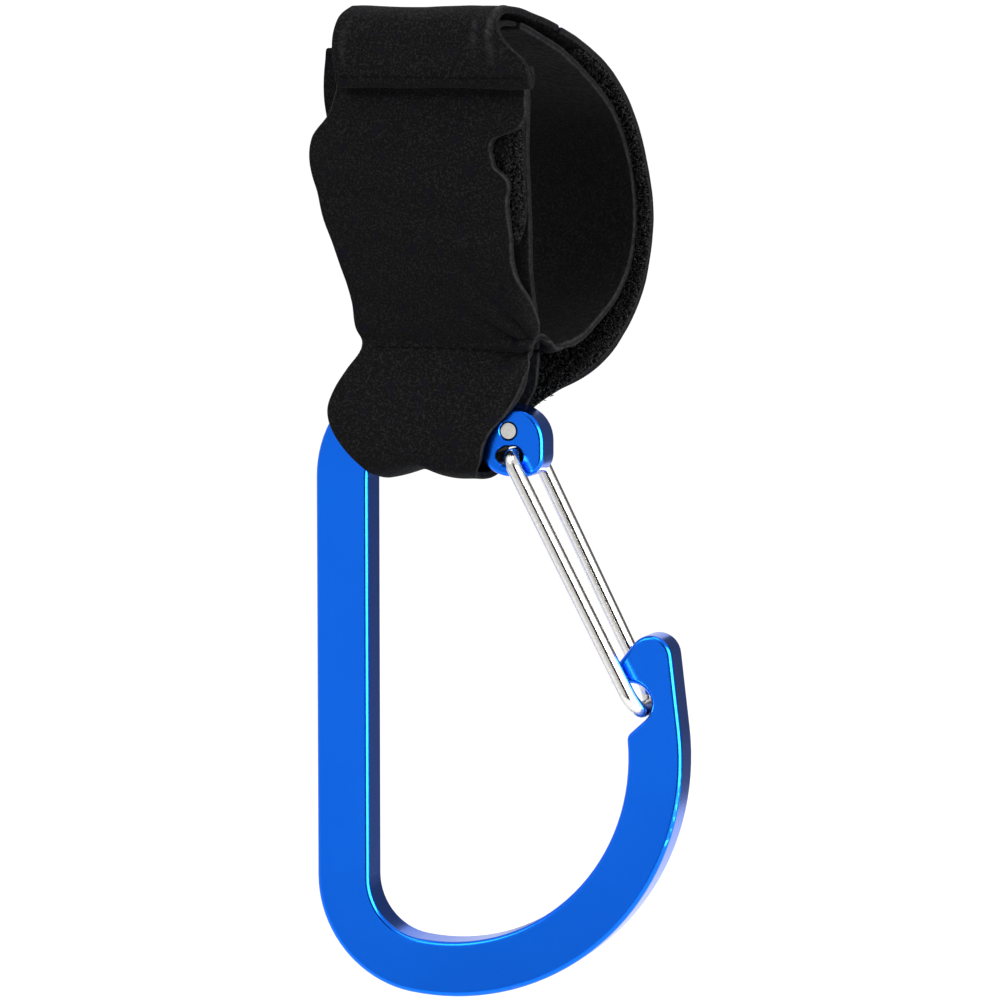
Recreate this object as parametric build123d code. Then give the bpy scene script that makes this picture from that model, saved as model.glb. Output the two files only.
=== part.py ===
from build123d import *
import math
import os

# Stroller hook: a D-shaped wire-gate carabiner hanging in a hook-and-loop strap.
# Millimetres. +Z is up and +X runs along the handlebar. The origin is on the
# axis of the handlebar that the strap loop closes on.

# Strap neck, where the loop is gathered above the sleeve
NECK_Y = -9.0
NECK_Z = -39.0
TWIST = 12.0                # the carabiner and its sleeve hang turned about the vertical

# Carabiner body: a flat bar bent into a D
BAR_WIDTH = 11.7
BAR_THICKNESS = 8.0
EDGE_RADIUS = 1.0
ARCH_RADIUS = 18.2          # centreline radius of the top arch and of the lower spine corner
SPINE_LENGTH = 85.0
BASKET_RADIUS = 46.9        # centreline radius of the long bend up to the nose
BASKET_START = -97.5        # direction from the bend's centre where it leaves the corner
BASKET_END = 8.0
ARCH_OFFSET_X = -7.15       # arch centre measured from the neck
ARCH_DROP = 28.0
KNUCKLE_RADIUS = 7.3
KNUCKLE_X = 19.05
KNUCKLE_Z = 8.6
KNUCKLE_TOE_RADIUS = 4.5
KNUCKLE_ROOT_ANGLE = 35.0   # where the arch runs into the knuckle

# Nose
NOSE_TOP = (49.65, -35.2)
NOSE_TOP_RADIUS = 4.6
BEAK = (43.75, -39.7)
BEAK_RADIUS = 2.8
BEAK_UNDERSIDE = -41.4
NOTCH = (45.55, -45.0)
NOTCH_RADIUS = 4.3
MOUTH_SLOPE = 42.5          # slope of the notch's lower lip
SHOULDER_ROUNDING = 2.0
BEAK_ROUNDING = 1.1
KNUCKLE_ROUNDING = 3.0

# Wire gate
WIRE_DIAMETER = 3.3
PIN_CLEARANCE = 0.05
SLOT_CLEARANCE = 0.3
UPPER_PIVOT = (18.78, 10.86)
LOWER_PIVOT = (19.94, 5.70)
GATE_TIP = (47.55, -46.2)
LEG_OFFSET = 6.7            # leg centreline from the middle of the bar
GATE_TRAVEL = 20.0
PIVOT_BEND = 2.3
TIP_BEND = 4.5
HOLE_CHAMFER = 0.4

# Strap fabric
STRAP_WIDTH = 48.0
FLAP_WIDTH = 42.0
PLY = 1.5
TAPE = 1.0
LOOP_SLOPE = 22.0           # slope of the straight stretches before and after the loop's round back
OUTER_LOOP_RADIUS = 33.0
LINING_RADIUS = 28.6
FRONT_PANEL_SHIFT = -4.0
FLAP_HINGE = (0.0, 65.0)    # where the closing flap bends, measured back and up from the neck
FLAP_FRONT = -17.6
FLAP_HEM_HEIGHT = 53.8
HEM_HEIGHT = 3.0
PANEL_TOP = 62.0
SLEEVE_DEPTH = 27.1
SLEEVE_TOP_HALF = 6.6       # half depth of the sleeve, wide enough for the bar to swing inside
SLEEVE_FOOT_HALF = 9.9
THREAD = 0.5

neck = Location((0, NECK_Y, NECK_Z))
turned_neck = neck * Rotation(0, 0, TWIST)
arch_centre = turned_neck * Location((ARCH_OFFSET_X, 0, -ARCH_DROP))


def direction(angle):
    """Unit vector at an angle in degrees."""
    return Vector(math.cos(math.radians(angle)), math.sin(math.radians(angle)))


def plate(outline, thickness):
    """Upright plate of a given outline, drawn as X and Z, centred on Y."""
    return extrude(Plane.XZ * outline, amount=thickness / 2, both=True)


def band(path, thickness, width, shift=0.0):
    """Fabric band: a side view drawn as Y and Z from the neck, run across the strap."""
    section = Plane.YZ * trace(path, thickness)
    return neck * Location((shift, 0, 0)) * extrude(section, amount=width / 2, both=True)


def basket_centre():
    """Centre of the long lower bend, tangent to the spine corner."""
    corner = Vector(0, -SPINE_LENGTH)
    return corner - direction(BASKET_START) * (BASKET_RADIUS - ARCH_RADIUS)


def d_bar():
    """The bent bar from the knuckle round to the root of the nose."""
    arch = CenterArc((0, 0), ARCH_RADIUS, KNUCKLE_ROOT_ANGLE, 180 - KNUCKLE_ROOT_ANGLE)
    spine = Line((-ARCH_RADIUS, 0), (-ARCH_RADIUS, -SPINE_LENGTH))
    corner = CenterArc((0, -SPINE_LENGTH), ARCH_RADIUS, 180, 180 + BASKET_START)
    basket = CenterArc(basket_centre(), BASKET_RADIUS, BASKET_START, BASKET_END - BASKET_START)
    return trace([arch, spine, corner, basket], BAR_WIDTH)


def knuckle():
    """Rounded lug that carries the gate's two ends."""
    root = Pos(*direction(KNUCKLE_ROOT_ANGLE) * ARCH_RADIUS) * Circle(BAR_WIDTH / 2)
    heel = Pos(KNUCKLE_X, KNUCKLE_Z) * Circle(KNUCKLE_RADIUS)
    toe_drop = KNUCKLE_RADIUS - KNUCKLE_TOE_RADIUS
    toe = Pos(KNUCKLE_X + toe_drop, KNUCKLE_Z - toe_drop) * Circle(KNUCKLE_TOE_RADIUS)
    return make_hull(root.edges() + heel.edges() + toe.edges())


def nose():
    """Hooked nose, with the notch that the gate closes into."""
    outer_radius = BASKET_RADIUS + BAR_WIDTH / 2
    shoulder = CenterArc(basket_centre(), outer_radius, -20, 30)
    top = Pos(*NOSE_TOP) * Circle(NOSE_TOP_RADIUS)
    beak = Pos(*BEAK) * Circle(BEAK_RADIUS)
    return make_hull([shoulder] + top.edges() + beak.edges())


def notch():
    """Round seat for the gate's end, open towards the inside of the D."""
    seat = Pos(*NOTCH) * Circle(NOTCH_RADIUS)
    lip = Vector(*NOTCH) + direction(MOUTH_SLOPE - 90) * NOTCH_RADIUS
    lip_end = lip - direction(MOUTH_SLOPE) * 17
    mouth = Polygon(
        (lip_end.X, BEAK_UNDERSIDE),
        (NOTCH[0], BEAK_UNDERSIDE),
        (lip.X, lip.Y),
        (lip_end.X, lip_end.Y),
        align=None,
    )
    return seat + mouth


def gate_slot():
    """Arc slot round the upper pivot, in which the gate's lower end travels."""
    reach = Vector(*LOWER_PIVOT) - Vector(*UPPER_PIVOT)
    closed_angle = math.degrees(math.atan2(reach.Y, reach.X))
    travel = CenterArc(UPPER_PIVOT, reach.length, closed_angle, -GATE_TRAVEL)
    return SlotArc(travel, WIRE_DIAMETER + 2 * SLOT_CLEARANCE)


def carabiner_body():
    """Aluminium body with rounded edges and the two gate holes."""
    outline = d_bar() + knuckle() + nose() - notch()
    outline = round_corner(outline, SHOULDER_ROUNDING, index=0)
    outline = round_corner(outline, BEAK_ROUNDING, index=0)
    outline = round_corner(outline, BEAK_ROUNDING, index=0)
    outline = round_corner(outline, KNUCKLE_ROUNDING, index=-1)
    body = plate(outline, BAR_THICKNESS)
    rims = body.edges().group_by(Axis.Y)
    body = fillet(rims[0] + rims[-1], EDGE_RADIUS)
    pin_hole = Pos(*UPPER_PIVOT) * Circle(WIRE_DIAMETER / 2 + PIN_CLEARANCE)
    for opening in (pin_hole, gate_slot()):
        body = body - plate(opening, 2 * BAR_THICKNESS)
        body = chamfer(opening_rims(body, opening), HOLE_CHAMFER)
    return arch_centre * body


def round_corner(outline, radius, index):
    """Round one of an outline's remaining corners, counted from the lowest."""
    corners = ShapeList(v for v in outline.vertices() if is_corner(outline, v))
    return fillet(corners.sort_by(Axis.Y)[index], radius)


def is_corner(outline, vertex):
    """True where two edges of an outline meet at an angle."""
    meeting = [e for e in outline.edges() if vertex in e.vertices()]
    first, second = [e.tangent_at(0 if e.start_point() == Vector(vertex) else 1) for e in meeting]
    return abs(first.cross(second).length) > math.sin(math.radians(8))


def opening_rims(body, opening):
    """Edges of a through hole on the two flat faces of the body."""
    reach = opening.bounding_box().size.length / 2
    centre = Plane.XZ * Location(opening.center())
    near = [e for e in body.edges() if (e.center() - centre.position).length < reach + BAR_THICKNESS]
    flat = [e for e in near if abs(abs(e.center().Y) - BAR_THICKNESS / 2) < 0.01]
    return [e for e in flat if abs(e.tangent_at(0).Y) < 0.01 and within(e, centre.position, reach)]


def within(edge, centre, reach):
    """True if an edge stays inside a cylinder about a Y axis through centre."""
    offset = edge.center() - centre
    return math.hypot(offset.X, offset.Z) < reach


def gate_wire():
    """One bent wire: in through the upper hole, down, across the notch, up, in at the lower slot."""
    end = BAR_THICKNESS / 2 - 0.15
    route = [
        (UPPER_PIVOT[0], -end, UPPER_PIVOT[1]),
        (UPPER_PIVOT[0], LEG_OFFSET, UPPER_PIVOT[1]),
        (GATE_TIP[0], LEG_OFFSET, GATE_TIP[1]),
        (GATE_TIP[0], -LEG_OFFSET, GATE_TIP[1]),
        (LOWER_PIVOT[0], -LEG_OFFSET, LOWER_PIVOT[1]),
        (LOWER_PIVOT[0], end, LOWER_PIVOT[1]),
    ]
    path = FilletPolyline(*route, radius=[PIVOT_BEND, TIP_BEND, TIP_BEND, PIVOT_BEND])
    section = Plane(origin=path @ 0, z_dir=path % 0) * Circle(WIRE_DIAMETER / 2)
    return arch_centre * sweep(section, path=path)


def loop_path(foot, head, radius):
    """Side view of a loop ply: straight, round the back, and straight again to the top."""
    slope = math.tan(math.radians(LOOP_SLOPE))
    foot_slope = foot[2]
    reach = (head[1] - foot[1] + slope * head[0] + foot_slope * foot[0]) / (slope + foot_slope)
    corner = (reach, foot[1] + foot_slope * (reach - foot[0]))
    return FilletPolyline(foot[:2], corner, head, radius=radius)


def back_ply():
    """Outer ply, from behind the sleeve round the back of the loop to the flap."""
    slope = math.tan(math.radians(LOOP_SLOPE))
    hinge_y, hinge_z = FLAP_HINGE
    head = (hinge_y + PLY / 2 + 0.4, hinge_z - slope * (PLY / 2 + 0.4))
    foot = (12.5, -4.2, slope)
    return band(loop_path(foot, head, OUTER_LOOP_RADIUS), PLY, STRAP_WIDTH)


def lining():
    """Inner ply against the handlebar, from the neck round the back to the top."""
    slope = math.tan(math.radians(LOOP_SLOPE))
    hinge_y, hinge_z = FLAP_HINGE
    head = (hinge_y + 3, hinge_z - 3 * slope - PLY - 1.0)
    foot = (-3.0, 0.7, 0.0)
    return band(loop_path(foot, head, LINING_RADIUS), PLY, STRAP_WIDTH - 3)


def front_wall():
    """Inner ply of the loop's front."""
    path = FilletPolyline((-2.6, 2.2), (-9.3, 11.0), (-11.3, 36.0), (-11.3, PANEL_TOP), radius=[8, 40])
    return band(path, PLY, STRAP_WIDTH - 2)


def hook_tape():
    """Hook tape sewn to the outside of the front wall."""
    path = FilletPolyline((-11.1, 15.0), (-12.75, 36.0), (-12.75, PANEL_TOP), radius=40)
    return band(path, TAPE, STRAP_WIDTH - 4)


def front_panel():
    """Outer ply of the front, from the sleeve up to under the flap."""
    path = FilletPolyline((-6.8, 0.2), (-12.9, 14.0), (-14.5, 36.0), (-14.5, PANEL_TOP), radius=[12, 40])
    return band(path, PLY, STRAP_WIDTH, FRONT_PANEL_SHIFT)


def flap_path(depth, start):
    """Side view of the flap at a depth under its outer ply, over the top and down the front."""
    slope = math.tan(math.radians(LOOP_SLOPE))
    front = FLAP_FRONT + depth
    lift = FLAP_HINGE[1] - depth / math.cos(math.radians(LOOP_SLOPE))
    corner = (front, lift - slope * (front - FLAP_HINGE[0]))
    root = (start, lift - slope * (start - FLAP_HINGE[0]))
    return FilletPolyline(root, corner, (front, FLAP_HEM_HEIGHT), radius=6 - depth)


def closing_flap():
    """Free end of the strap, with a rounded edge where it bends."""
    flap = band(flap_path(0, FLAP_HINGE[0]), PLY, FLAP_WIDTH)
    bend = Pos(*FLAP_HINGE) * Circle(PLY / 2)
    return flap + neck * extrude(Plane.YZ * bend, amount=FLAP_WIDTH / 2, both=True)


def flap_pile_tape():
    """Soft tape under the flap, which grips the hook side."""
    return band(flap_path((PLY + TAPE) / 2 + 0.1, -4.0), TAPE, FLAP_WIDTH - 4)


def flap_hem():
    """Folded edge along the flap's free end."""
    fold = FLAP_FRONT - PLY - 0.1
    path = Line((fold, FLAP_HEM_HEIGHT), (fold, FLAP_HEM_HEIGHT + HEM_HEIGHT))
    return band(path, PLY, FLAP_WIDTH - 1)


def seam(path, shift=0.0, width=THREAD):
    """Raised line of stitching thread that follows a side view."""
    return band(path, THREAD, width, shift)


def flap_seam():
    """Thread that closes the flap's hem."""
    face = FLAP_FRONT - 1.5 * PLY - 0.1 - THREAD / 2
    path = Line((face, FLAP_HEM_HEIGHT + 1.8), (face, FLAP_HEM_HEIGHT + 1.8 + THREAD))
    return seam(path, width=FLAP_WIDTH - 4)


def neck_seam():
    """Thread row that gathers the front panel at the neck."""
    path = Line((-8.6, 1.3), (-8.8, 1.8))
    return seam(path, FRONT_PANEL_SHIFT / 2, STRAP_WIDTH - 12)


def tape_seam():
    """Thread along the open edge of the hook tape."""
    path = FilletPolyline((-11.95, 15.0), (-13.6, 36.0), (-13.6, PANEL_TOP - 1), radius=40)
    return seam(path, STRAP_WIDTH / 2 - 3)


def sleeve():
    """Fabric tube round the carabiner's top bar, trimmed to the width it is gathered to."""
    ring = FilletPolyline(
        (-SLEEVE_TOP_HALF, -1.9), (-SLEEVE_FOOT_HALF, -SLEEVE_DEPTH),
        (SLEEVE_FOOT_HALF, -SLEEVE_DEPTH), (SLEEVE_TOP_HALF, -1.9),
        radius=2.5, close=True,
    )
    tube = extrude(Plane.YZ * trace(ring, PLY), amount=STRAP_WIDTH, both=True)
    front_view = Polygon(
        (-19, 1), (-27, -12), (-27, -17.5), (-24, -22.5), (-18.5, -26.5), (-16, -30),
        (7.5, -30), (7.5, -23), (7, -20), (10, -14.5), (14.5, -11), (17, -9), (17.4, 1),
        align=None,
    )
    return turned_neck * (tube & plate(front_view, 40))


def neck_tack():
    """Stitched stack that gathers the plies above the sleeve."""
    return neck * Pos(-1.5, -4.6, 0.1) * Box(34, 2.2, 1.6)


NODES = {
    "carabiner_body": carabiner_body,
    "gate_wire": gate_wire,
    "sleeve": sleeve,
    "neck_tack": neck_tack,
    "front_wall": front_wall,
    "hook_tape": hook_tape,
    "front_panel": front_panel,
    "back_ply": back_ply,
    "lining": lining,
    "closing_flap": closing_flap,
    "flap_pile_tape": flap_pile_tape,
    "flap_hem": flap_hem,
    "flap_seam": flap_seam,
    "neck_seam": neck_seam,
    "tape_seam": tape_seam,
}

os.makedirs("parts", exist_ok=True)
for name, make in NODES.items():
    export_step(make(), f"parts/{name}.step")
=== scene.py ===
import math
import random

import bpy
import numpy as np
from mathutils import Matrix, Vector, noise


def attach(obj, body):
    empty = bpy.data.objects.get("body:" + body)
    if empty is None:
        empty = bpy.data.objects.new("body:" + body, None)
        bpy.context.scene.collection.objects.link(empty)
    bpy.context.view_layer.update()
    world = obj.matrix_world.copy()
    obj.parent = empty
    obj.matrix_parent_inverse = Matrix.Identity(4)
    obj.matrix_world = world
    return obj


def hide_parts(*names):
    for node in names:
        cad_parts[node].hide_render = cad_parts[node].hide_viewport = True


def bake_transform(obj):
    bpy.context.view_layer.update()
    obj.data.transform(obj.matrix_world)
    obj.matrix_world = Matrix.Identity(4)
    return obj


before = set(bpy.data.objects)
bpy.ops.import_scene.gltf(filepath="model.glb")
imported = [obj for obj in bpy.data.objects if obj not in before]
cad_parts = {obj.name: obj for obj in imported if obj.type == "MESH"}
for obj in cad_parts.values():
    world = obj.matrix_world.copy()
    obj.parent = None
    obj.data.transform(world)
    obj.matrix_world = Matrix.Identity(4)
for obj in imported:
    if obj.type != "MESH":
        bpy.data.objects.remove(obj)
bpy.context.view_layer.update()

# Lengths in the tables below are millimetres, measured from the strap's neck:
# u along the handlebar, v back and w up. The scene is in metres.
MM = 0.001
NECK = Vector((0, -9, -39))
TWIST = 12.0                # the carabiner and its sleeve hang turned about the vertical
PLY = 1.5
TAPE = 1.0
GRID_SPACING = 0.8
RIM_STEPS = (0.0, 0.3, 0.8)  # columns crowd in to these distances from a side edge
RIM_ROUNDING = 0.45         # how far the rim bulges, as a share of half the thickness
COARSE_WAVES = 70           # relief frequencies, per metre
FINE_WAVES = 260
FINE_RELIEF = 0.10

# The gate's two holes through the body, whose walls get painted shade: centre in the shared frame,
# and half sizes.
PIN_HOLE = (11.38, -6.58, -56.14)
PIN_HOLE_REACH = (1.85, 1.85)
GATE_SLOT = (11.61, -6.53, -61.34)
GATE_SLOT_REACH = (2.95, 2.10)


# ------------------------------------------------------------------ cloth sheets

def place(u, v, w, twist):
    """A point in the scene, turned by a twist about the neck's vertical axis."""
    turn = math.radians(twist)
    x = u * math.cos(turn) - v * math.sin(turn)
    y = u * math.sin(turn) + v * math.cos(turn)
    return Vector((x + NECK.x, y + NECK.y, w + NECK.z)) * MM


def smooth_run(stations):
    """Rows evenly spaced along a smooth curve through the stations."""
    knots = np.array(stations, float)
    steps = np.linalg.norm(np.diff(knots[:, :2], axis=0), axis=1)
    at = np.concatenate([[0], np.cumsum(steps)])
    slopes = np.gradient(knots, at, axis=0)
    count = max(2, int(round(at[-1] / GRID_SPACING)))
    rows = []
    for x in np.linspace(0, at[-1], count + 1):
        i = min(np.searchsorted(at, x, side="right") - 1, len(at) - 2)
        h = at[i + 1] - at[i]
        t = (x - at[i]) / h
        a = (2 * t**3 - 3 * t**2 + 1) * knots[i] + (t**3 - 2 * t**2 + t) * h * slopes[i]
        b = (3 * t**2 - 2 * t**3) * knots[i + 1] + (t**3 - t**2) * h * slopes[i + 1]
        rows.append(a + b)
    return np.array(rows)


def columns(width):
    """Places across a sheet from 0 to 1, closer together along both edges."""
    rim = np.array(RIM_STEPS) / width
    count = max(2, int(round((width - 2 * RIM_STEPS[-1]) / GRID_SPACING)))
    middle = np.linspace(rim[-1], 1 - rim[-1], count + 1)
    return np.concatenate([rim[:-1], middle, 1 - rim[-2::-1]])


def grid_normals(points):
    """Unit normals of a grid of points."""
    along = np.gradient(points, axis=0)
    across = np.gradient(points, axis=1)
    normals = np.cross(along, across)
    return normals / np.linalg.norm(normals, axis=2, keepdims=True)


def relief(points, seed, coarse):
    """Uneven height of hand-folded cloth, in metres."""
    shift = Vector((seed * 3.7, seed * 1.3, seed * 2.1))
    height = np.zeros(points.shape[:2])
    for i, row in enumerate(points):
        for j, p in enumerate(row):
            p = Vector(p)
            broad = noise.noise(p * COARSE_WAVES + shift)
            small = noise.noise(p * FINE_WAVES + shift)
            height[i, j] = coarse * broad + FINE_RELIEF * small
    return height * MM


def local_of(stations):
    """u, v, w and twist at each place of a sheet's grid."""
    rows = smooth_run(stations)
    across = columns(float(np.mean(rows[:, 3] - rows[:, 2])))
    local = np.empty((len(rows), len(across), 4))
    local[:, :, 0] = rows[:, 2:3] + (rows[:, 3:4] - rows[:, 2:3]) * across
    local[:, :, 1] = rows[:, 0:1]
    local[:, :, 2] = rows[:, 1:2]
    local[:, :, 3] = rows[:, 4:5]
    return local


def grid_of(stations, seed, coarse=0.35, shape=None):
    """Centre surface of a sheet, with its uneven relief and its own folds."""
    local = local_of(stations)
    points = np.array([[place(*at) for at in row] for row in local])
    height = relief(points, seed, coarse)
    if shape is not None:
        height = height + shape(local) * MM
    return points + grid_normals(points) * height[:, :, None]


def shell(name, points, thickness, materials, wear_and_highlight, painted_face_light=None):
    """Closed cloth body about a grid of points: two faces and a rounded rim between them.
    The pair of rim levels says how much lighter its side and end rims are made, partly as wear and
    partly as painted highlight, and the grid of face levels, when given, how much light is painted
    on its faces at each place."""
    rows, cols = points.shape[:2]
    normals = grid_normals(points)
    half = thickness * MM / 2
    outer = points + normals * half
    inner = points - normals * half
    index = np.arange(rows * cols).reshape(rows, cols)
    ring = [(0, j) for j in range(cols)]
    ring += [(i, cols - 1) for i in range(1, rows)]
    ring += [(rows - 1, j) for j in range(cols - 2, -1, -1)]
    ring += [(i, 0) for i in range(rows - 2, 0, -1)]
    inward = {}
    for i, j in ring:
        step = points[min(max(i, 1), rows - 2), min(max(j, 1), cols - 2)] - points[i, j]
        inward[(i, j)] = step / max(np.linalg.norm(step), 1e-9)
    bulge = half * RIM_ROUNDING
    middle = np.array([points[i, j] - inward[(i, j)] * bulge for i, j in ring])
    verts = np.concatenate([outer.reshape(-1, 3), inner.reshape(-1, 3), middle])
    faces, slots = [], []
    e = rows * cols
    for i in range(rows - 1):
        for j in range(cols - 1):
            a, b, c, d = index[i, j], index[i, j + 1], index[i + 1, j + 1], index[i + 1, j]
            faces.append((a, d, c, b))
            faces.append((a + e, b + e, c + e, d + e))
            slots += [0, 1]
    for k in range(len(ring)):
        n = (k + 1) % len(ring)
        p, q = index[ring[k]], index[ring[n]]
        faces.append((p, q, 2 * e + n, 2 * e + k))
        faces.append((2 * e + k, 2 * e + n, q + e, p + e))
        slots += [0, 0]
    mesh = bpy.data.meshes.new(name)
    mesh.from_pydata([tuple(v) for v in verts], [], [tuple(int(x) for x in f) for f in faces])
    # Lighter rims, partly wear and partly painted highlight, and painted light on the faces,
    # carried to the cloth material as a point attribute.
    wear_and_light_values = np.zeros(len(verts), np.float32)
    if painted_face_light is not None:
        wear_and_light_values[:2 * e] = np.tile(painted_face_light.ravel(), 2)
    for i, j in ring:
        rim_wear_and_highlight = wear_and_highlight[0] if j in (0, cols - 1) else wear_and_highlight[1]
        wear_and_light_values[index[i, j]] = wear_and_light_values[index[i, j] + e] = rim_wear_and_highlight
    mesh.attributes.new("wear_and_painted_light", "FLOAT", "POINT").data.foreach_set("value", wear_and_light_values)
    for material in materials:
        mesh.materials.append(material)
    mesh.polygons.foreach_set("material_index", slots)
    mesh.polygons.foreach_set("use_smooth", [True] * len(faces))
    mesh.validate()
    obj = bpy.data.objects.new(name, mesh)
    bpy.context.scene.collection.objects.link(obj)
    sub = obj.modifiers.new("soften", "SUBSURF")
    sub.levels = sub.render_levels = 1
    return apply_modifiers(obj)


def apply_modifiers(obj):
    """Replaces an object's mesh by what its modifiers make of it."""
    bpy.context.view_layer.update()
    graph = bpy.context.evaluated_depsgraph_get()
    mesh = bpy.data.meshes.new_from_object(
        obj.evaluated_get(graph), preserve_all_data_layers=True, depsgraph=graph)
    obj.modifiers.clear()
    old, obj.data = obj.data, mesh
    mesh.name = obj.name
    bpy.data.meshes.remove(old)
    return obj


END_TAPER = 0.55            # a thread's ends, as a share of its radius
FIBRE_STEPS = 5
FIBRE_SIDES = 4
STITCH_SIDES = 6
STITCH_ARC = ((0.10, -0.25), (0.25, 0.15), (0.5, 0.3), (0.75, 0.15), (0.90, -0.25))


def tube_net(name, paths, radius, sides, material):
    """One mesh of many thin closed threads, each along its own points."""
    verts, faces = [], []
    for path in paths:
        first = len(verts)
        for k, p in enumerate(path):
            ahead = path[min(k + 1, len(path) - 1)] - path[max(k - 1, 0)]
            side = ahead.orthogonal().normalized()
            up = ahead.cross(side).normalized()
            taper = END_TAPER if k in (0, len(path) - 1) else 1.0
            for s in range(sides):
                turn = 2 * math.pi * s / sides
                verts.append(p + (side * math.cos(turn) + up * math.sin(turn)) * radius * taper)
        for k in range(len(path) - 1):
            for s in range(sides):
                n = (s + 1) % sides
                a, b = first + k * sides, first + (k + 1) * sides
                faces.append((a + s, a + n, b + n, b + s))
        last = first + (len(path) - 1) * sides
        faces.append(tuple(first + s for s in reversed(range(sides))))
        faces.append(tuple(last + s for s in range(sides)))
    mesh = bpy.data.meshes.new(name)
    mesh.from_pydata(verts, [], faces)
    mesh.materials.append(material)
    mesh.polygons.foreach_set("use_smooth", [True] * len(faces))
    obj = bpy.data.objects.new(name, mesh)
    bpy.context.scene.collection.objects.link(obj)
    return obj


def nap(name, points, side, rows, cols, count, size, radius, seed, material):
    """Small curled fibres standing on one face of a sheet, in a band of its grid."""
    pick = random.Random(seed)
    normals = grid_normals(points) * side
    paths = []
    for _ in range(count):
        i = int(pick.uniform(*rows) * (points.shape[0] - 1))
        j = int(pick.uniform(*cols) * (points.shape[1] - 1))
        n = Vector(normals[i, j])
        a = Vector(points[i, j])
        b = Vector(points[min(i + 1, points.shape[0] - 1), min(j + 1, points.shape[1] - 1)])
        foot = a.lerp(b, pick.random()) + n * PLY / 2 * MM
        spin = Matrix.Rotation(pick.uniform(0, 2 * math.pi), 3, n)
        lean = (spin @ n.orthogonal().normalized()).normalized()
        span = size * pick.uniform(0.6, 1.3) * MM
        tall = size * pick.uniform(0.5, 1.1) * MM
        sweep = math.pi * pick.uniform(0.75, 1.25)
        tilt = lean.cross(n) * pick.uniform(-0.6, 0.6)
        path = []
        for k in range(FIBRE_STEPS + 1):
            turn = sweep * k / FIBRE_STEPS
            rise = math.sin(turn) * tall
            path.append(foot + lean * span * (1 - math.cos(turn)) / 2 + (n + tilt) * rise)
        paths.append(path)
    return tube_net(name, paths, radius * MM, FIBRE_SIDES, material)


def stitches(name, line, pitch, radius, material):
    """A row of separate lock stitches laid on a polyline of (point, normal)."""
    at = [0.0]
    for (p, _), (q, _) in zip(line, line[1:]):
        at.append(at[-1] + (q - p).length)

    def along(x):
        k = min(max(np.searchsorted(at, x, side="right") - 1, 0), len(line) - 2)
        t = (x - at[k]) / max(at[k + 1] - at[k], 1e-9)
        point = line[k][0].lerp(line[k + 1][0], t)
        return point, line[k][1].lerp(line[k + 1][1], t).normalized()

    step = pitch * MM
    paths = []
    for k in range(int(at[-1] / step)):
        path = []
        for t, lift in STITCH_ARC:
            p, n = along((k + t) * step)
            path.append(p + n * (PLY / 2 + lift * radius * 2) * MM)
        paths.append(path)
    return tube_net(name, paths, radius * MM, STITCH_SIDES, material)


# ------------------------------------------------------------------ materials

def new_material(name):
    material = bpy.data.materials.new(name)
    material.use_nodes = True
    nodes, links = material.node_tree.nodes, material.node_tree.links
    return material, nodes, links, nodes["Principled BSDF"]


def noise_node(nodes, links, coordinates, scale, detail=2.0, rough=0.5):
    node = nodes.new("ShaderNodeTexNoise")
    node.inputs["Scale"].default_value = scale
    node.inputs["Detail"].default_value = detail
    node.inputs["Roughness"].default_value = rough
    links.new(coordinates, node.inputs["Vector"])
    return node


def ramp_node(nodes, links, value, stops):
    node = nodes.new("ShaderNodeValToRGB")
    elements = node.color_ramp.elements
    while len(elements) < len(stops):
        elements.new(0.5)
    for element, (position, colour) in zip(elements, stops):
        element.position = position
        element.color = (*colour, 1)
    links.new(value, node.inputs["Fac"])
    return node


def mix_node(nodes, links, kind, factor, a, b):
    node = nodes.new("ShaderNodeMix")
    node.data_type = "RGBA"
    node.blend_type = kind
    if isinstance(factor, float):
        node.inputs["Factor"].default_value = factor
    else:
        links.new(factor, node.inputs["Factor"])
    links.new(a, node.inputs["A"])
    if isinstance(b, tuple):
        node.inputs["B"].default_value = (*b, 1)
    else:
        links.new(b, node.inputs["B"])
    return node.outputs["Result"]


def product_node(nodes, links, a, b):
    """Product of two values."""
    node = nodes.new("ShaderNodeMath")
    node.operation = "MULTIPLY"
    links.new(a, node.inputs[0])
    links.new(b, node.inputs[1])
    return node.outputs["Value"]


def range_node(nodes, links, value, **limits):
    """A value carried over to another range; limits are the node's inputs, spelled From_Min."""
    node = nodes.new("ShaderNodeMapRange")
    for socket, limit in limits.items():
        node.inputs[socket.replace("_", " ")].default_value = limit
    links.new(value, node.inputs["Value"])
    return node.outputs["Result"]


def bump_node(nodes, links, height, strength, distance, normal=None, invert=False):
    """Bumped normal, on top of another one if it is given."""
    node = nodes.new("ShaderNodeBump")
    node.invert = invert
    node.inputs["Strength"].default_value = strength
    node.inputs["Distance"].default_value = distance
    links.new(height, node.inputs["Height"])
    if normal is not None:
        links.new(normal, node.inputs["Normal"])
    return node.outputs["Normal"]


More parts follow.
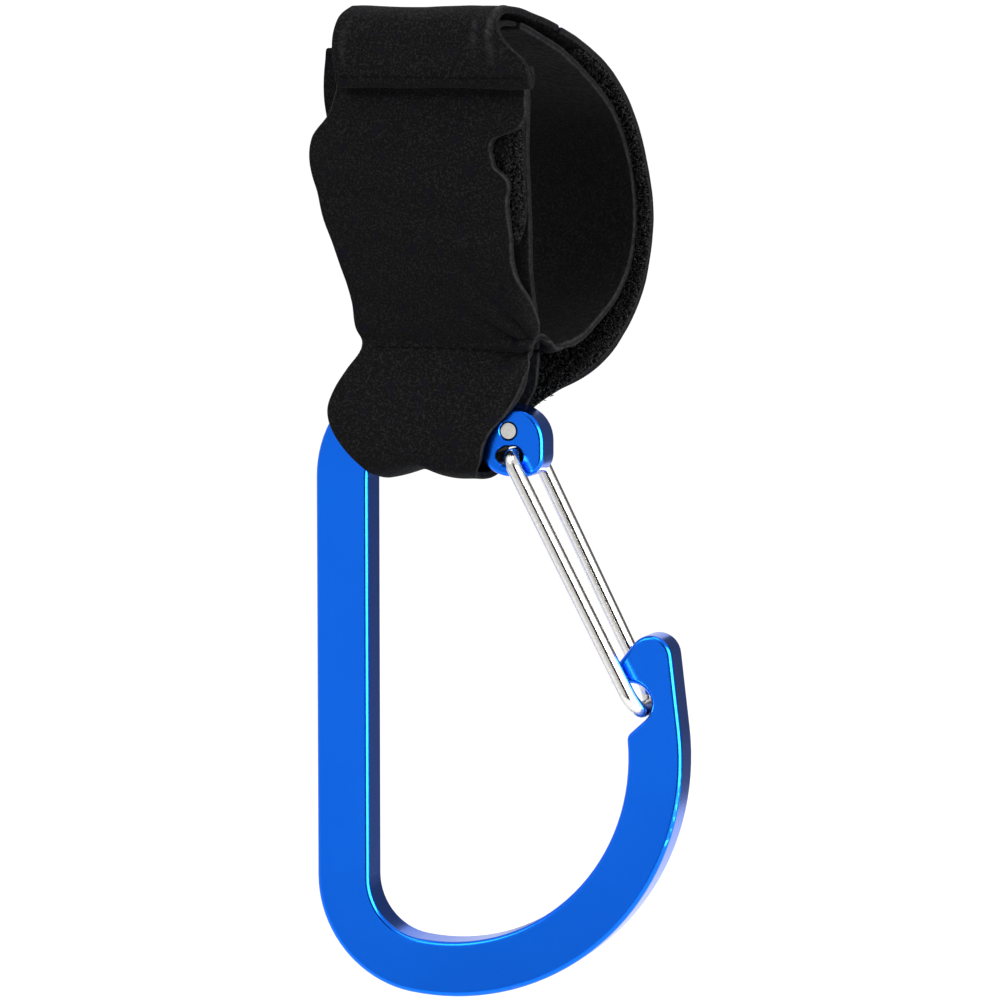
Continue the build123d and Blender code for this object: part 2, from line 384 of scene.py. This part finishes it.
def cloth_material(name, dark, light, tint, sheen, grain, wear_and_highlight_tone):
    """Brushed black cloth: fine grain, uneven dye, small dimples, and rims, creases and loop tops
    made lighter, partly as wear and partly as painted highlight and painted light.
    """
    material, nodes, links, shader = new_material(name)
    coordinates = nodes.new("ShaderNodeTexCoord").outputs["Object"]
    fibre = noise_node(nodes, links, coordinates, grain, 3.0, 0.6)
    weave = noise_node(nodes, links, coordinates, grain * 0.35, 2.0, 0.5)
    patch = noise_node(nodes, links, coordinates, 290, 2.0, 0.5)
    base = ramp_node(nodes, links, fibre.outputs["Fac"], [(0.50, dark), (0.61, light)])
    blots = ramp_node(nodes, links, patch.outputs["Fac"], [(0.60, (0, 0, 0)), (0.70, (1, 1, 1))])
    colour = mix_node(nodes, links, "MIX", blots.outputs["Color"], base.outputs["Color"], tint)
    # Lighter rims, creases and loop tops from the point attribute: rims partly worn and partly
    # painted highlight, creases painted highlight, tops painted light.
    wear_and_highlight = nodes.new("ShaderNodeAttribute")
    wear_and_highlight.attribute_name = "wear_and_painted_light"
    patchy = ramp_node(nodes, links, weave.outputs["Fac"], [(0.30, (0.25,) * 3), (0.65, (1,) * 3)])
    wear_and_highlight_amount = product_node(nodes, links, wear_and_highlight.outputs["Fac"], patchy.outputs["Color"])
    colour = mix_node(nodes, links, "MIX", wear_and_highlight_amount, colour, wear_and_highlight_tone)
    links.new(colour, shader.inputs["Base Color"])
    shader.inputs["Roughness"].default_value = 0.9
    shader.inputs["Specular IOR Level"].default_value = 0.08
    shader.inputs["Sheen Weight"].default_value = sheen
    shader.inputs["Sheen Roughness"].default_value = 0.45
    fine = bump_node(nodes, links, fibre.outputs["Fac"], 0.7, 0.00025)
    broad = bump_node(nodes, links, weave.outputs["Fac"], 0.6, 0.0006, normal=fine)
    links.new(broad, shader.inputs["Normal"])
    return material


def pile_material(name, dark, light):
    """Back of the strap where its looped pile shows: knots of thread painted lighter as highlight,
    with gaps painted dark as shade.
    """
    material, nodes, links, shader = new_material(name)
    coordinates = nodes.new("ShaderNodeTexCoord").outputs["Object"]
    warp = noise_node(nodes, links, coordinates, 900, 2.0, 0.5)
    knots = nodes.new("ShaderNodeTexVoronoi")
    knots.feature = "F1"
    knots.inputs["Scale"].default_value = 1100
    links.new(mix_node(nodes, links, "LINEAR_LIGHT", 0.0012, coordinates, warp.outputs["Color"]),
              knots.inputs["Vector"])
    # Painted light: the knots are lighter as painted highlight and the gaps darker as painted
    # shade.
    tone = ramp_node(nodes, links, knots.outputs["Distance"], [(0.10, light), (0.34, dark)])
    links.new(tone.outputs["Color"], shader.inputs["Base Color"])
    shader.inputs["Roughness"].default_value = 0.65
    shader.inputs["Specular IOR Level"].default_value = 0.08
    raised = bump_node(nodes, links, knots.outputs["Distance"], 1.05, 0.0006, invert=True)
    links.new(raised, shader.inputs["Normal"])
    return material


def thread_material(name, colour, rough, shine):
    """Twisted nylon thread."""
    material, nodes, links, shader = new_material(name)
    coordinates = nodes.new("ShaderNodeTexCoord").outputs["Object"]
    twist = noise_node(nodes, links, coordinates, 2400, 2.0, 0.6)
    light = tuple(min(1.0, c * 2.2) for c in colour)
    tone = ramp_node(nodes, links, twist.outputs["Fac"], [(0.35, colour), (0.7, light)])
    links.new(tone.outputs["Color"], shader.inputs["Base Color"])
    shader.inputs["Roughness"].default_value = rough
    shader.inputs["Specular IOR Level"].default_value = shine
    links.new(bump_node(nodes, links, twist.outputs["Fac"], 0.5, 0.0001), shader.inputs["Normal"])
    return material


def hole_shade_mask(nodes, links, coordinates, centre, reach):
    """Mask of painted shade: 0 on the walls of a hole through the carabiner's body, 1 outside it.
    """
    place_in = nodes.new("ShaderNodeMapping")
    place_in.vector_type = "TEXTURE"
    place_in.inputs["Location"].default_value = Vector(centre) * MM
    place_in.inputs["Rotation"].default_value[2] = math.radians(TWIST)
    place_in.inputs["Scale"].default_value = (reach[0] * MM, 1000.0, reach[1] * MM)
    links.new(coordinates, place_in.inputs["Vector"])
    length = nodes.new("ShaderNodeVectorMath")
    length.operation = "LENGTH"
    links.new(place_in.outputs["Vector"], length.inputs[0])
    return range_node(nodes, links, length.outputs["Value"], From_Min=1.02, From_Max=1.10)


def anodised_material():
    """Satin blue anodised aluminium under a thin clear oxide layer, with painted shade, black and
    not metallic, on the walls of its two holes.
    """
    material, nodes, links, shader = new_material("anodised_blue")
    coordinates = nodes.new("ShaderNodeTexCoord").outputs["Object"]
    blast = noise_node(nodes, links, coordinates, 3200, 2.0, 0.6)
    cloud = noise_node(nodes, links, coordinates, 45, 3.0, 0.5)
    tone = ramp_node(nodes, links, cloud.outputs["Fac"],
                     [(0.3, (0.0027, 0.112, 0.68)), (0.7, (0.0034, 0.124, 0.72))])
    # Painted shade: the hole walls are made black and not metallic.
    pin = hole_shade_mask(nodes, links, coordinates, PIN_HOLE, PIN_HOLE_REACH)
    slot = hole_shade_mask(nodes, links, coordinates, GATE_SLOT, GATE_SLOT_REACH)
    outside = product_node(nodes, links, pin, slot)
    hole_shaded_colour = mix_node(nodes, links, "MULTIPLY", 1.0, tone.outputs["Color"], outside)
    links.new(hole_shaded_colour, shader.inputs["Base Color"])
    links.new(outside, shader.inputs["Metallic"])
    shader.inputs["Specular IOR Level"].default_value = 0.0
    gloss = range_node(nodes, links, blast.outputs["Fac"], To_Min=0.17, To_Max=0.26)
    links.new(gloss, shader.inputs["Roughness"])
    shader.inputs["Coat Weight"].default_value = 0.08
    shader.inputs["Coat Roughness"].default_value = 0.18
    links.new(bump_node(nodes, links, blast.outputs["Fac"], 0.12, 0.00006), shader.inputs["Normal"])
    return material


def steel_material():
    """Polished stainless wire with faint drawing marks."""
    material, nodes, links, shader = new_material("stainless_wire")
    coordinates = nodes.new("ShaderNodeTexCoord").outputs["Object"]
    draw = noise_node(nodes, links, coordinates, 1800, 3.0, 0.6)
    tone = ramp_node(nodes, links, draw.outputs["Fac"],
                     [(0.35, (0.50, 0.49, 0.47)), (0.7, (0.62, 0.61, 0.59))])
    links.new(tone.outputs["Color"], shader.inputs["Base Color"])
    shader.inputs["Metallic"].default_value = 1.0
    gloss = range_node(nodes, links, draw.outputs["Fac"], To_Min=0.10, To_Max=0.22)
    links.new(gloss, shader.inputs["Roughness"])
    links.new(bump_node(nodes, links, draw.outputs["Fac"], 0.10, 0.00005), shader.inputs["Normal"])
    return material


def stage_material(name, tone):
    """Matt grey for the floor and the cards."""
    material, nodes, links, shader = new_material(name)
    coordinates = nodes.new("ShaderNodeTexCoord").outputs["Object"]
    speck = noise_node(nodes, links, coordinates, 3.0)
    stops = [(0.3, (tone * 0.985,) * 3), (0.7, (tone,) * 3)]
    shade = ramp_node(nodes, links, speck.outputs["Fac"], stops)
    links.new(shade.outputs["Color"], shader.inputs["Base Color"])
    shader.inputs["Roughness"].default_value = 1.0
    shader.inputs["Specular IOR Level"].default_value = 0.0
    return material


CLOTH_GRAIN = 2300
# The last tone of each cloth lightens rims, creases and loop tops: partly wear, partly painted
# highlight and painted light.
felt = cloth_material("black_felt", dark=(0.0001,) * 3, light=(0.0086, 0.0085, 0.0090),
                      tint=(0.0010, 0.0010, 0.0042), sheen=0.006, grain=CLOTH_GRAIN,
                      wear_and_highlight_tone=(0.032, 0.032, 0.034))
plain = cloth_material("black_lining", dark=(0.0002,) * 3, light=(0.0080, 0.0080, 0.0084),
                       tint=(0.0006, 0.0006, 0.0026), sheen=0.005, grain=CLOTH_GRAIN,
                       wear_and_highlight_tone=(0.026, 0.026, 0.028))
pile = pile_material("looped_pile", (0.0002,) * 3, (0.020,) * 3)
fibre_thread = thread_material("pile_fibre", (0.006, 0.006, 0.0064), 0.35, 0.15)
black_thread = thread_material("black_thread", (0.0007, 0.0007, 0.0008), 0.9, 0.05)

# ------------------------------------------------------------------ carabiner

for node, material in (("carabiner_body", anodised_material()), ("gate_wire", steel_material())):
    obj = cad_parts[node]
    obj.data.materials.clear()
    obj.data.materials.append(material)

# ------------------------------------------------------------------ strap
# Each station is (v, w, left u, right u, twist).

T = TWIST
PANEL = [
    (-14.7, 61.0, -20.0, 21.0, 0), (-14.8, 57.0, -20.6, 23.6, 0), (-14.9, 52.0, -21.2, 24.4, 0),
    (-15.0, 47.2, -23.2, 24.2, 0), (-15.1, 45.2, -25.2, 22.4, 0), (-15.2, 43.8, -26.4, 17.6, 0),
    (-15.2, 42.4, -27.0, 16.6, 0), (-15.1, 39.4, -27.4, 17.0, 0), (-15.1, 37.4, -27.2, 17.6, 0),
    (-15.0, 36.0, -27.0, 19.6, 0), (-14.6, 31.0, -25.7, 20.0, 0), (-13.7, 24.0, -23.9, 20.2, 0),
    (-11.9, 16.0, -21.3, 20.6, 0), (-8.9, 9.5, -20.8, 21.4, 2), (-6.3, 4.0, -21.0, 19.8, 8),
    (-4.4, -0.5, -20.2, 16.8, T),
]
SLEEVE = [
    (-4.8, -5.0, -23.3, 15.8, T), (-5.7, -9.2, -25.9, 14.8, T), (-6.4, -13.4, -27.2, 12.0, T),
    (-6.7, -17.2, -26.4, 8.6, T), (-6.8, -20.6, -24.2, 7.0, T), (-6.6, -23.2, -21.8, 6.5, T),
    (-5.8, -25.3, -19.0, 5.4, T), (-3.6, -26.5, -17.0, 4.6, T), (0.0, -27.0, -15.6, 5.0, T),
    (3.6, -26.5, -17.0, 6.4, T), (5.8, -25.3, -19.4, 7.2, T), (6.6, -23.0, -23.0, 7.0, T),
    (6.8, -18.0, -26.6, 8.4, T), (6.4, -13.4, -27.0, 11.6, T), (5.4, -9.0, -25.6, 14.4, T),
    (3.6, -4.5, -23.0, 15.6, T), (1.4, -0.8, -20.4, 16.6, T),
]


def bump(x, centre, width):
    """A smooth bump of height 1."""
    return np.exp(-((x - centre) / width) ** 2)


def neck_crumple(local):
    """Small lumps where the plies are bunched at the right end of the neck."""
    lumps = np.array([noise.noise(Vector(at[:3]) * 0.42) for at in local.reshape(-1, 4)])
    lumps = lumps.reshape(local.shape[:2])
    near = bump(np.hypot(local[:, :, 1] - 1.5, local[:, :, 2] - 1.5), 0, 6.5)
    return 2.8 * lumps * near * np.clip((local[:, :, 0] - 6) / 10, 0, 1)


def panel_folds(local):
    """Creases gathering towards the neck, a groove under the flap's hem and slack in the panel."""
    u, v, w = local[:, :, 0], local[:, :, 1], local[:, :, 2]
    reach = np.hypot(u - 19, w)
    angle = np.arctan2(w, 19 - u)
    rays = 0.75 * np.sin(angle * 9 + 0.6) * bump(reach, 7, 6)
    rays = rays + 0.35 * np.sin(angle * 15 + 2) * bump(reach, 14, 7)
    crease = -0.6 * bump(w - 0.5 + 0.05 * u, 0, 1.5)
    ripple = 0.22 * np.sin(w * 0.62 + 0.12 * u) * bump(w, 28, 16)
    dip = 0.5 * bump(u, -14, 9) * bump(w, 9, 8)
    groove = -0.45 * bump(w, 52.9, 1.1)
    front = 0.5 * neck_crumple(local) + rays + crease + ripple + dip + groove
    return np.where(v < 0, front, 0.5 * crease)


def flap_creases(local):
    """Sharp folds pressed into the closing flap."""
    u, v, w = local[:, :, 0], local[:, :, 1], local[:, :, 2]
    front = np.clip((-v - 11) / 3, 0, 1)
    right = bump(u, 17.9 + 0.03 * (w - 64) ** 2 * (w < 64), 0.32) * np.clip((w - 58) / 3, 0, 1)
    second = bump(u, 14.3 - 0.05 * (w - 66), 0.30) * bump(w, 64, 3.4)
    left = bump(u, -17.0 + 0.02 * (w - 62) ** 2, 0.30) * bump(w, 63, 3.0)
    return front * (1.1 * right + 0.8 * second + 1.0 * left)


def waved_foot(points):
    """How far the sleeve's lower edge rises at each place, in metres: one arch and small waves."""
    x, z = points[:, :, 0], points[:, :, 2]
    waves = np.array([noise.noise(Vector((at * 150, 3.1, 0))) for at in x.ravel()]).reshape(x.shape)
    near_foot = np.clip((NECK.z * MM - 0.020 - z) / 0.007, 0, 1)
    return near_foot * (0.0017 * bump(x, -0.0068, 0.0040) + 0.0005 * waves)


panel_grid = grid_of(PANEL + SLEEVE, seed=1, shape=panel_folds)
panel_grid[:, :, 2] += waved_foot(panel_grid)
outer_ply = shell("outer_ply", panel_grid, PLY, [felt, plain], wear_and_highlight=(0.9, 0.2))

FRONT_WALL = [
    (-12.3, 61.5, -25.0, 18.4, 0), (-12.3, 59.0, -25.2, 21.6, 0), (-12.4, 56.0, -25.4, 23.2, 0),
    (-12.4, 52.0, -25.4, 23.6, 0), (-12.4, 42.0, -23.5, 23.4, 0),
    (-11.6, 34.0, -23.0, 23.2, 0), (-10.8, 25.0, -22.8, 23.1, 0), (-9.4, 16.0, -21.4, 22.6, 0),
    (-6.9, 9.8, -20.4, 21.2, 2), (-4.2, 4.4, -19.6, 19.6, 6), (-2.4, 0.2, -18.8, 17.8, T),
]
wall_grid = grid_of(FRONT_WALL, seed=2, coarse=0.2)
front_wall = shell("inner_front_ply", wall_grid, PLY, [plain, plain], wear_and_highlight=(0.6, 0.0))

HOOK_TAPE = [
    (-13.7, 60.5, -20.0, 20.6, 0), (-13.7, 57.5, -20.6, 23.0, 0), (-13.7, 50.0, -21.0, 23.3, 0),
    (-13.7, 42.0, -21.0, 23.2, 0),
    (-12.9, 34.0, -21.0, 23.0, 0), (-12.1, 25.0, -21.0, 22.2, 0), (-11.6, 22.0, -20.6, 20.6, 0),
]
tape_grid = grid_of(HOOK_TAPE, seed=2, coarse=0.15)
hook_tape = shell("hook_strip", tape_grid, TAPE, [pile, plain], wear_and_highlight=(0.3, 0.0))

LINING = [
    (-4.6, 0.3, -18.0, 18.4, 4), (-3.4, 2.1, -18.8, 19.4, 3), (-1.6, 2.9, -20.0, 20.6, 1),
    (1.0, 1.7, -21.5, 21.6, 0),
    (5.2, 0.4, -22.0, 22.0, 0), (10.5, 1.2, -22.0, 22.0, 0), (15.6, 3.3, -22.0, 22.0, 0),
    (20.3, 5.8, -22.0, 22.0, 0), (27.0, 10.0, -22.0, 22.0, 0), (31.8, 15.2, -22.0, 22.0, 0),
    (34.2, 21.5, -22.0, 22.0, 0), (34.4, 29.0, -22.0, 22.0, 0), (32.6, 37.5, -22.0, 22.0, 0),
    (27.2, 46.0, -22.0, 22.0, 0), (19.8, 52.6, -22.0, 22.0, 0), (12.0, 57.2, -22.0, 22.0, 0),
    (6.6, 59.9, -22.0, 22.0, 0), (2.3, 61.8, -21.8, 22.0, 0),
    (-1.0, 63.4, -21.0, 21.0, 0), (-4.0, 65.0, -20.2, 19.6, 0), (-7.6, 66.3, -19.2, 18.8, 0),
]


def painted_top_light(local):
    """Painted light: how much lighter the cloth is made towards the top of the loop."""
    return 0.60 * np.clip((local[:, :, 2] - 46) / 8, 0, 1)


# The lining is painted lighter towards the top of the loop.
lining_grid = grid_of(LINING, seed=4, coarse=0.3, shape=neck_crumple)
lining = shell("inner_back_ply", lining_grid, PLY, [plain, plain], wear_and_highlight=(1.0, 0.0),
               painted_face_light=painted_top_light(local_of(LINING)))

BACK_PLY = [
    (8.3, -15.8, -24.0, 10.6, T), (7.7, -12.6, -23.4, 13.8, T), (8.0, -9.6, -23.2, 18.0, 9),
    (10.4, -7.3, -23.6, 21.2, 4),
    (14.0, -4.8, -24.2, 23.6, 1), (18.7, -1.8, -24.4, 24.8, 0), (24.4, 2.4, -24.4, 25.0, 0),
    (29.0, 7.2, -24.4, 25.2, 0), (32.9, 12.6, -24.4, 25.2, 0), (35.3, 18.6, -24.4, 25.2, 0),
    (36.2, 25.5, -24.4, 25.2, 0), (35.2, 33.5, -24.4, 25.0, 0), (32.4, 41.5, -24.4, 24.8, 0),
    (27.4, 49.2, -24.4, 24.7, 0), (20.6, 55.6, -24.4, 24.6, 0), (12.4, 60.6, -24.4, 24.4, 0),
    (5.0, 63.9, -24.4, 24.0, 0), (1.4, 65.5, -24.2, 23.1, 0),
]
back_grid = grid_of(BACK_PLY, seed=5, coarse=0.4)
back_ply = shell("outer_back_ply", back_grid, PLY, [felt, pile], wear_and_highlight=(0.5, 0.2))

FLAP = [
    (0.9, 65.7, -24.2, 22.8, 0), (-1.6, 66.9, -23.4, 21.5, 0), (-4.8, 68.2, -22.0, 20.0, 0),
    (-9.5, 69.3, -20.4, 19.4, 0), (-13.6, 69.4, -18.4, 18.8, 0), (-16.6, 67.7, -19.0, 18.9, 0),
    (-17.8, 65.0, -19.5, 19.9, 0), (-18.1, 62.0, -19.7, 22.6, 0), (-18.3, 59.4, -19.5, 26.0, 0),
    (-18.4, 57.0, -18.9, 27.2, 0), (-18.3, 55.0, -18.6, 27.4, 0), (-17.6, 54.0, -18.6, 27.3, 0),
    (-16.9, 54.8, -18.6, 27.2, 0), (-16.8, 58.0, -18.6, 27.0, 0),
]
# The crease heights also paint lighter highlight lines along the flap's folds.
flap_grid = grid_of(FLAP, seed=6, coarse=0.3, shape=flap_creases)
closing_flap = shell("flap_ply", flap_grid, PLY, [felt, pile], wear_and_highlight=(0.1, 0.0),
                     painted_face_light=flap_creases(local_of(FLAP)))

PILE_TAPE = [
    (-8.6, 66.6, -18.8, 18.4, 0), (-12.2, 66.8, -17.6, 17.8, 0), (-15.0, 65.2, -17.8, 17.8, 0),
    (-16.0, 62.4, -18.0, 19.6, 0), (-16.2, 59.0, -18.0, 21.6, 0),
]
# The flap's pile tape is painted lighter towards the top of the loop.
pile_grid = grid_of(PILE_TAPE, seed=7, coarse=0.1)
flap_pile_tape = shell("flap_pile", pile_grid, TAPE, [plain, plain], wear_and_highlight=(0.3, 0.0),
                       painted_face_light=painted_top_light(local_of(PILE_TAPE)))

# ------------------------------------------------------------------ fibres and stitches

# Bands of fibres as shares of a sheet's rows and columns, and how many stand in each.
back_nap = [
    nap(name, back_grid, -1, rows, cols, count, 0.8, 0.10, seed, fibre_thread)
    for name, rows, cols, count, seed in (
        ("back_nap_right", (0.03, 0.93), (0.88, 0.985), 2600, 11),
        ("back_nap_left", (0.03, 0.93), (0.015, 0.12), 1800, 12),
        ("back_nap_foot", (0.05, 0.22), (0.55, 0.88), 900, 13),
    )
]
tape_hooks = nap("tape_hooks", tape_grid, 1, (0.05, 0.98), (0.90, 0.985), 900, 0.6, 0.09, 14,
                 fibre_thread)


LINE_STEPS = 40


def seam(name, points, start, end, pitch, radius):
    """Stitches along a straight line in a sheet's grid, as shares of its rows and columns."""
    normals = grid_normals(points)
    line = []
    for k in range(LINE_STEPS + 1):
        t = k / LINE_STEPS
        i = int(round((start[0] + (end[0] - start[0]) * t) * (points.shape[0] - 1)))
        j = int(round((start[1] + (end[1] - start[1]) * t) * (points.shape[1] - 1)))
        line.append((Vector(points[i, j]), Vector(normals[i, j])))
    return stitches(name, line, pitch, radius, black_thread)


flap_seam = seam("hem_stitches", flap_grid, (0.835, 0.04), (0.835, 0.96), 2.6, 0.16)
lap_seam = seam("lap_stitches", flap_grid, (0.04, 0.03), (0.04, 0.97), 2.6, 0.18)
tape_seam = seam("tape_stitches", tape_grid, (0.02, 0.965), (0.98, 0.965), 2.4, 0.2)
neck_seam = seam("neck_stitches", panel_grid, (0.497, 0.10), (0.497, 0.92), 2.6, 0.18)

# ------------------------------------------------------------------ bodies

for obj in (front_wall, hook_tape, tape_hooks, tape_seam, *back_nap):
    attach(obj, "strap")
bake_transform(outer_ply)
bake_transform(neck_seam)
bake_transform(back_ply)
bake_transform(closing_flap)
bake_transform(lining)
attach(flap_pile_tape, "flap")
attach(flap_seam, "flap")
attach(lap_seam, "strap")

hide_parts("front_panel", "sleeve")
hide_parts("front_wall", "neck_tack")
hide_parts("hook_tape")
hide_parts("lining")
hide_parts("back_ply")
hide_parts("closing_flap", "flap_hem")
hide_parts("flap_pile_tape")
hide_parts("flap_seam")
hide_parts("neck_seam")
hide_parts("tape_seam")

# ------------------------------------------------------------------ studio

TARGET = Vector((8.31, -7.23, -71.0)) * MM
CAMERA_AT = (31, 6, 0.95)   # azimuth, elevation, distance
FLOOR_HALF = 40
FLOOR_Z = -0.60


def aim(obj, azimuth, elevation, distance):
    """Places an object round the target, facing it; azimuth 0 is in front, 90 to the right."""
    a, e = math.radians(azimuth), math.radians(elevation)
    direction = Vector((math.sin(a) * math.cos(e), -math.cos(a) * math.cos(e), math.sin(e)))
    bpy.context.scene.collection.objects.link(obj)
    obj.location = TARGET + direction * distance
    obj.rotation_euler = (TARGET - obj.location).to_track_quat("-Z", "Y").to_euler()


def softbox(name, azimuth, elevation, distance, width, height, power):
    """Rectangular soft light."""
    light = bpy.data.lights.new(name, "AREA")
    light.shape = "RECTANGLE"
    light.size, light.size_y = width, height
    light.energy = power
    obj = bpy.data.objects.new(name, light)
    aim(obj, azimuth, elevation, distance)
    return obj


def rectangle(name, half_width, half_height, material):
    """Flat rectangle of one face about its own origin."""
    w, h = half_width, half_height
    mesh = bpy.data.meshes.new(name)
    mesh.from_pydata([(-w, -h, 0), (w, -h, 0), (w, h, 0), (-w, h, 0)], [], [(0, 1, 2, 3)])
    mesh.materials.append(material)
    return bpy.data.objects.new(name, mesh)


def flag(name, azimuth, elevation, distance, width, height, material):
    """Dark card that only reflections see, as a studio hangs beside shiny metal."""
    obj = rectangle(name, width / 2, height / 2, material)
    aim(obj, azimuth, elevation, distance)
    obj.visible_camera = False
    obj.visible_diffuse = False
    obj.visible_shadow = False


camera_data = bpy.data.cameras.new("camera")
camera_data.sensor_width = 36.0
camera_data.lens = 164.16
camera_data.clip_start = 0.01
camera = bpy.data.objects.new("camera", camera_data)
aim(camera, *CAMERA_AT)
bpy.context.scene.camera = camera

floor = rectangle("floor", FLOOR_HALF, FLOOR_HALF, stage_material("floor_white", 0.99))
floor.location.z = FLOOR_Z
bpy.context.scene.collection.objects.link(floor)
floor.visible_diffuse = False

# The sky dims towards the ground.
world = bpy.data.worlds.new("studio")
world.use_nodes = True
sky_nodes, sky_links = world.node_tree.nodes, world.node_tree.links
sky_height = sky_nodes.new("ShaderNodeSeparateXYZ")
sky_links.new(sky_nodes.new("ShaderNodeTexCoord").outputs["Generated"], sky_height.inputs["Vector"])
sky_level = range_node(sky_nodes, sky_links, sky_height.outputs["Z"],
                       From_Min=-0.45, From_Max=-0.02, To_Min=0.18, To_Max=1.05)
sky_links.new(sky_level, sky_nodes["Background"].inputs["Strength"])
sky_nodes["Background"].inputs["Color"].default_value = (1, 1, 1, 1)
bpy.context.scene.world = world
bpy.context.scene.view_settings.view_transform = "Standard"
bpy.context.scene.view_settings.look = "None"

# Azimuth, elevation, distance, width, height and, for a light, power.
softbox("key", -25, 40, 1.6, 0.9, 0.9, 14)
softbox("right_fill", 88, 6, 1.6, 1.3, 1.4, 24).visible_glossy = False
softbox("right_strip", 78, 4, 1.6, 1.5, 1.5, 98).visible_diffuse = False
softbox("top", 20, 80, 1.5, 0.8, 0.8, 10)

black_card = stage_material("black_card", 0.01)
grey_card = stage_material("grey_card", 0.15)
flag("flag_back_right", 160, 0, 2.4, 3.2, 3.0, grey_card)
flag("flag_front_right", 32, 0, 1.5, 0.90, 2.2, black_card)
flag("flag_back_low", 178, -27, 1.8, 3.6, 1.3, grey_card)
flag("flag_low", 14, -35, 1.3, 1.3, 0.8, black_card)
